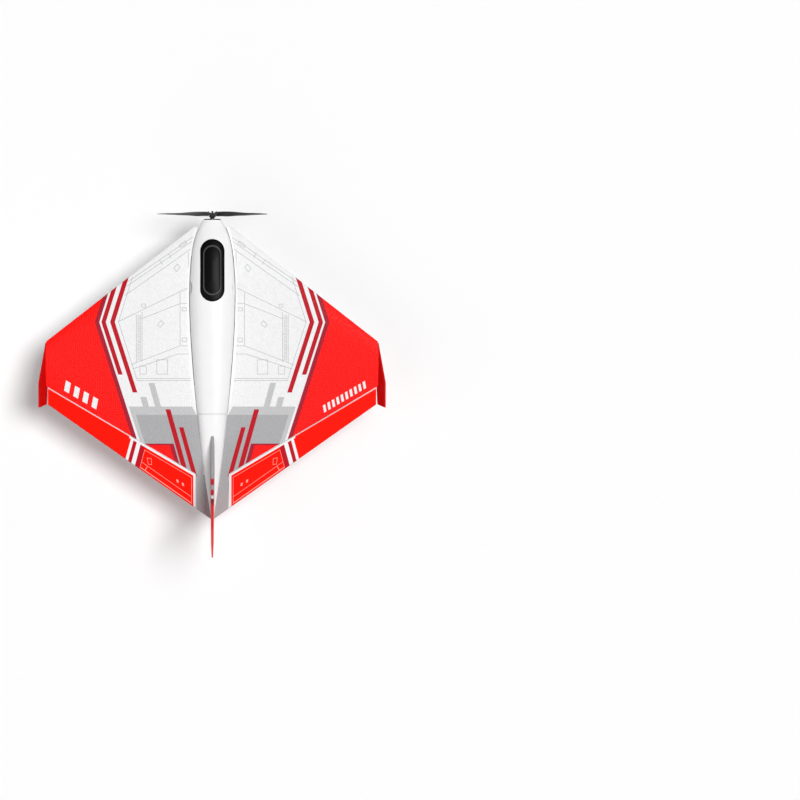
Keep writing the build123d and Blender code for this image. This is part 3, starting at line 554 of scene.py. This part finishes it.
def hull_foam():
    """Smooth satin white skin; painted shade darkens the slit along the hatch and the finger notches, and
    the grips are grey.
    """
    paint = Paint("white_foam", HULL_WHITE, 0.34, Specular_IOR_Level=0.45, Coat_Weight=0.12,
                  Coat_Roughness=0.3)
    # painted shade in the seam between the hatch and the wing, traced from above and from the side
    beside = ((27.4, 61.0), (29.7, 85.0), (30.2, 130.0), (27.2, 190.0), (23.9, 231.0))
    slit_shade_from_above = paint.stroke(beside, 1.7)
    paint.turn_to_side()
    seat = ((61.0, 24.5), (105.0, 26.4), (165.0, 26.2), (231.0, 25.0))
    paint.brush(paint.least(slit_shade_from_above, paint.stroke(seat, 1.8)), SLIT_SHADE_GREY)
    # painted shade: the recessed finger notch is painted grey
    notch_shade = paint.least(paint.disc((102.9, 29.4), 9.25), paint.under(paint.out, 29.9),
                        paint.over(paint.height, 29.45))
    paint.brush(notch_shade, NOTCH_SHADE_GREY)
    grip = paint.least(paint.between(paint.station, 140.1, 169.9), paint.between(paint.height, 3.8, 17.2))
    paint.brush(grip, GRIP_GREY)
    paint.mottle(45.0, 0.03)
    return paint.done(paint.grain(1400.0, 0.00003))


def plain(name, colour, roughness, scale, depth, **sockets):
    """One colour with a little unevenness, in patches eight times as coarse as its fine grain."""
    paint = Paint(name, colour, roughness, **sockets)
    paint.mottle(scale / 8, 0.06)
    return paint.done(paint.grain(scale, depth))


def striped(name, colour, other, roughness, direction, pitch, **sockets):
    """Fine parallel lines: grain of wood, carbon or a weave."""
    paint = Paint(name, colour, roughness, **sockets)
    inputs = {"Vector": paint.place, "Scale": 1 / pitch / 3, "Distortion": 2.0, "Detail": 2.0,
              "Detail Scale": 2.0}
    wave = paint.node("TexWave", inputs, bands_direction=direction)
    paint.colour = paint.node("Mix", {0: wave, 6: (*colour, 1), 7: (*other, 1)}, output=2,
                              data_type="RGBA")
    return paint.done(paint.bump(wave, 0.00004))


def wires():
    """Silicone leads: red, black and yellow side by side."""
    paint = Paint("wire", (0.02, 0.02, 0.02), 0.45)
    paint.brush(paint.between(paint.across, 8.9, 12.5), (0.60, 0.01, 0.01))
    paint.brush(paint.between(paint.across, -8.0, -0.95), (0.60, 0.42, 0.02))
    paint.mottle(300.0, 0.1)
    return paint.done(paint.grain(1500.0, 0.00002))


def battery_wrap():
    """A shrink sleeve round the cells, dark with a plain coloured band and pale rules."""
    paint = Paint("battery_wrap", (0.02, 0.03, 0.06), 0.3, Coat_Weight=0.4)
    paint.brush(paint.between(paint.station, 64.0, 76.0), (0.02, 0.25, 0.60))
    for start in (78.0, 81.0):
        paint.brush(paint.between(paint.station, start, start + 1.2), (0.7, 0.7, 0.7))
    paint.mottle(120.0, 0.08)
    return paint.done(paint.grain(220.0, 0.0003))


FINISHES = {
    "white_foam": hull_foam,
    "wing_foam": wing_foam,
    "elevon_foam": elevon_foam,
    "fin_foam": fin_foam,
    "winglet_foam": lambda: plain("winglet_foam", (0.62, 0.002, 0.002), 0.42, 1700.0, 0.00006,
                                  Specular_IOR_Level=0.14),
    "canopy_black": lambda: plain("canopy_black", (0.003, 0.003, 0.0035), 0.34, 1800.0, 0.00002,
                                  Specular_IOR_Level=0.07),
    "carbon": lambda: striped("carbon", (0.012, 0.012, 0.013), (0.035, 0.035, 0.038), 0.35, "Y", 0.0006),
    "white_nylon": lambda: plain("white_nylon", (0.80, 0.80, 0.77), 0.42, 1500.0, 0.00003),
    "black_nylon": lambda: plain("black_nylon", (0.016, 0.016, 0.018), 0.44, 1300.0, 0.00003),
    "servo_case": lambda: plain("servo_case", (0.010, 0.020, 0.060), 0.25, 900.0, 0.00003,
                                Coat_Weight=0.3),
    "steel": lambda: plain("steel", (0.60, 0.60, 0.62), 0.28, 2600.0, 0.00002, Metallic=1.0),
    "magnet": lambda: plain("magnet", (0.78, 0.78, 0.80), 0.16, 2000.0, 0.00001, Metallic=1.0),
    "black_alloy": lambda: plain("black_alloy", (0.030, 0.030, 0.034), 0.34, 2400.0, 0.00002,
                                 Metallic=0.7),
    "stator": lambda: striped("stator", (0.20, 0.20, 0.21), (0.42, 0.42, 0.43), 0.4, "Y", 0.0004,
                              Metallic=0.9),
    "plywood": lambda: striped("plywood", (0.045, 0.036, 0.028), (0.022, 0.018, 0.014), 0.6, "Y",
                               0.0006),
    "rubber": lambda: plain("rubber", (0.018, 0.018, 0.018), 0.75, 1500.0, 0.00005),
    "battery_wrap": battery_wrap,
    "strap": lambda: striped("strap", (0.014, 0.014, 0.016), (0.05, 0.05, 0.055), 0.85, "X", 0.0012),
    "wire": wires,
    "circuit": lambda: plain("circuit", (0.012, 0.014, 0.020), 0.32, 500.0, 0.00012, Coat_Weight=0.3),
    "plug": lambda: plain("plug", (0.80, 0.42, 0.01), 0.35, 1500.0, 0.00004),
}


def finish_nodes():
    """Every CAD node takes the finish of its slot."""
    made = {}
    for name, node in NODES.items():
        slot = SLOTS[name]
        if slot not in made:
            made[slot] = FINISHES[slot]()
        node.data.materials.clear()
        node.data.materials.append(made[slot])
    return made


# ---------------------------------------------------------------- pieces

def add_piece(name, mesh, body):
    """Puts a mesh in the scene as a smooth piece that rides a body."""
    piece = bpy.data.objects.new(name, mesh)
    bpy.context.scene.collection.objects.link(piece)
    for face in mesh.polygons:
        face.use_smooth = True
    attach(piece, body)
    return piece


def top_surface(node):
    """A function that gives the height of a CAD node's upper surface over a spot."""
    mesh = NODES[node].data
    tree = BVHTree.FromPolygons([v.co for v in mesh.vertices], [tuple(p.vertices) for p in mesh.polygons])
    clear_above = 0.2

    def height(x, y):
        hit = tree.ray_cast(Vector((x, y, clear_above)), Vector((0, 0, -1)))[0]
        return None if hit is None else hit.z

    return height


# the canopy's rings from its edge inwards: (inset, rise above the CAD surface), and where its groove is
CANOPY_RINGS = (
    (0.02, -1.45), (0.02, -0.45), (0.25, -0.16), (0.7, -0.02), (1.6, 0.0), (3.0, 0.0), (4.1, 0.0),
    (4.4, -0.06), (4.6, -0.26), (5.0, -0.26), (5.2, -0.06), (5.5, 0.0), (8.0, 0.0), (11.0, 0.0),
    (14.0, 0.0), (15.6, 0.0),
)
GROOVE_FROM = 4.0
CANOPY_POINTS = 120


def canopy_ring(mesh, height, low, high, inset, rise):
    """One ring of points: a half circle at each end, joined by straight sides."""
    half = (high.x - low.x) / 2
    middle = (low.y + high.y) / 2
    radius = half - inset * MM
    shortening = 0.9
    length = (high.y - low.y) / 2 - half - shortening * inset * MM
    ring = []
    for k in range(CANOPY_POINTS):
        angle = 2 * pi * k / CANOPY_POINTS
        x = radius * cos(angle)
        y = middle + radius * sin(angle) + (length if sin(angle) >= 0 else -length)
        top = height(x, y)
        ring.append(mesh.verts.new((x, y, (high.z if top is None else top) + rise * MM)))
    return ring


def canopy_glass(finishes):
    """The black canopy panel: a crowned shell with a soft rolled edge and a fine groove inside it."""
    low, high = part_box("canopy")
    height = top_surface("canopy")
    mesh = bmesh.new()
    rings = [canopy_ring(mesh, height, low, high, inset, rise) for inset, rise in CANOPY_RINGS]
    for (inset, rise), outer, inner in zip(CANOPY_RINGS, rings, rings[1:]):
        for k in range(CANOPY_POINTS):
            after = (k + 1) % CANOPY_POINTS
            face = mesh.faces.new((outer[k], outer[after], inner[after], inner[k]))
            # faces in the groove take the second material, a painted highlight
            face.material_index = int(rise < 0 and inset > GROOVE_FROM)
    mesh.faces.new(rings[-1])
    mesh.faces.new(rings[0][::-1])
    bmesh.ops.recalc_face_normals(mesh, faces=mesh.faces)
    made = bpy.data.meshes.new("canopy_shell")
    mesh.to_mesh(made)
    mesh.free()
    made.materials.append(finishes["canopy_black"])
    # painted highlight: the groove is drawn lighter than the black canopy
    made.materials.append(plain("canopy_groove_highlight", (0.03, 0.03, 0.032), 0.4, 1800.0, 0.00002))
    piece = add_piece("canopy_shell", made, "hatch")
    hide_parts("canopy")


def wound_coils():
    """A copper coil round each of the stator's nine teeth, wound outwards from the hub."""
    low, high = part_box("motor_stator")
    middle = (low + high) / 2
    teeth, turns, steps = 9, 9, 16
    squareness = 0.4
    wire = 0.16 * MM
    first, last = 5.2 * MM, 8.6 * MM
    slot = 0.8 * MM
    half_depth = (high.y - low.y) / 2 + wire
    line = bpy.data.curves.new("stator_coils", "CURVE")
    line.dimensions = "3D"
    line.bevel_depth = wire
    line.bevel_resolution = 1
    for tooth in range(teeth):
        facing = 2 * pi * (tooth + 0.5) / teeth
        outwards = Vector((cos(facing), 0, sin(facing)))
        beside = Vector((-sin(facing), 0, cos(facing)))
        spline = line.splines.new("POLY")
        spline.points.add(turns * steps)
        for k, point in enumerate(spline.points):
            radius = first + (last - first) * k / (turns * steps)
            c, s = cos(2 * pi * k / steps), sin(2 * pi * k / steps)
            half_width = radius * sin(pi / teeth) - slot + wire
            sideways = copysign(half_width * abs(c) ** squareness, c)
            along = copysign(half_depth * abs(s) ** squareness, s)
            point.co = (*(middle + outwards * radius + beside * sideways + Vector((0, along, 0))), 1)
    drawn = bpy.data.objects.new("stator_coils_line", line)
    made = bpy.data.meshes.new_from_object(drawn)
    bpy.data.objects.remove(drawn)
    made.name = "stator_coils"
    made.materials.clear()
    made.materials.append(plain("copper", (0.62, 0.20, 0.07), 0.28, 2400.0, 0.00001, Metallic=1.0))
    add_piece("stator_coils", made, "airframe")


def add_block(mesh, low, high, soft, material=0):
    """Adds a block with softened edges to a mesh being built; its corners are in millimetres."""
    low, high = Vector(low) * MM, Vector(high) * MM
    corners = bmesh.ops.create_cube(mesh, size=1.0)["verts"]
    bmesh.ops.scale(mesh, vec=high - low, verts=corners)
    bmesh.ops.translate(mesh, vec=(low + high) / 2, verts=corners)
    mesh.edges.index_update()
    edges = {edge for corner in corners for edge in corner.link_edges}
    for face in {face for corner in corners for face in corner.link_faces}:
        face.material_index = material
    bmesh.ops.bevel(mesh, geom=sorted(edges, key=lambda edge: edge.index), offset=soft * MM, segments=2,
                    profile=0.5, affect="EDGES", material=material)


def controller_ports(finishes):
    """On the flight controller's lid: a bank of servo pins, a metal socket and a status light."""
    low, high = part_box("flight_controller")
    lid, front, rear = high.z / MM, low.y / MM + 2.0, high.y / MM - 2.5
    rows, columns, pitch = 6, 3, 2.54
    bank_top, pin_foot, pin_top = lid + 2.4, lid + 2, lid + 5.5
    pin = 0.32
    mesh = bmesh.new()
    for row in range(rows):
        x = (row - (rows - 1) / 2) * pitch
        add_block(mesh, (x - pitch / 2, rear - columns * pitch, lid), (x + pitch / 2, rear, bank_top), 0.3)
        for column in range(columns):
            y = rear - (column + 0.5) * pitch
            add_block(mesh, (x - pin, y - pin, pin_foot), (x + pin, y + pin, pin_top), 0.1, 1)
    add_block(mesh, (-4.5, front, lid), (4.5, front + 6.5, lid + 3.0), 0.7, 2)
    add_block(mesh, (8.0, front + 1, lid), (10.4, front + 3, lid + 0.7), 0.3, 3)
    made = bpy.data.meshes.new("controller_ports")
    mesh.to_mesh(made)
    mesh.free()
    made.materials.append(finishes["black_nylon"])
    made.materials.append(plain("gilt_pin", (0.78, 0.56, 0.22), 0.25, 2000.0, 0.00001, Metallic=1.0))
    made.materials.append(finishes["steel"])
    made.materials.append(plain("status_lens", (0.30, 0.75, 0.35), 0.2, 1500.0, 0.00001,
                                Transmission_Weight=0.3))
    add_piece("controller_ports", made, "airframe")


make_camera()
make_stage()
finishes = finish_nodes()
canopy_glass(finishes)
wound_coils()
controller_ports(finishes)
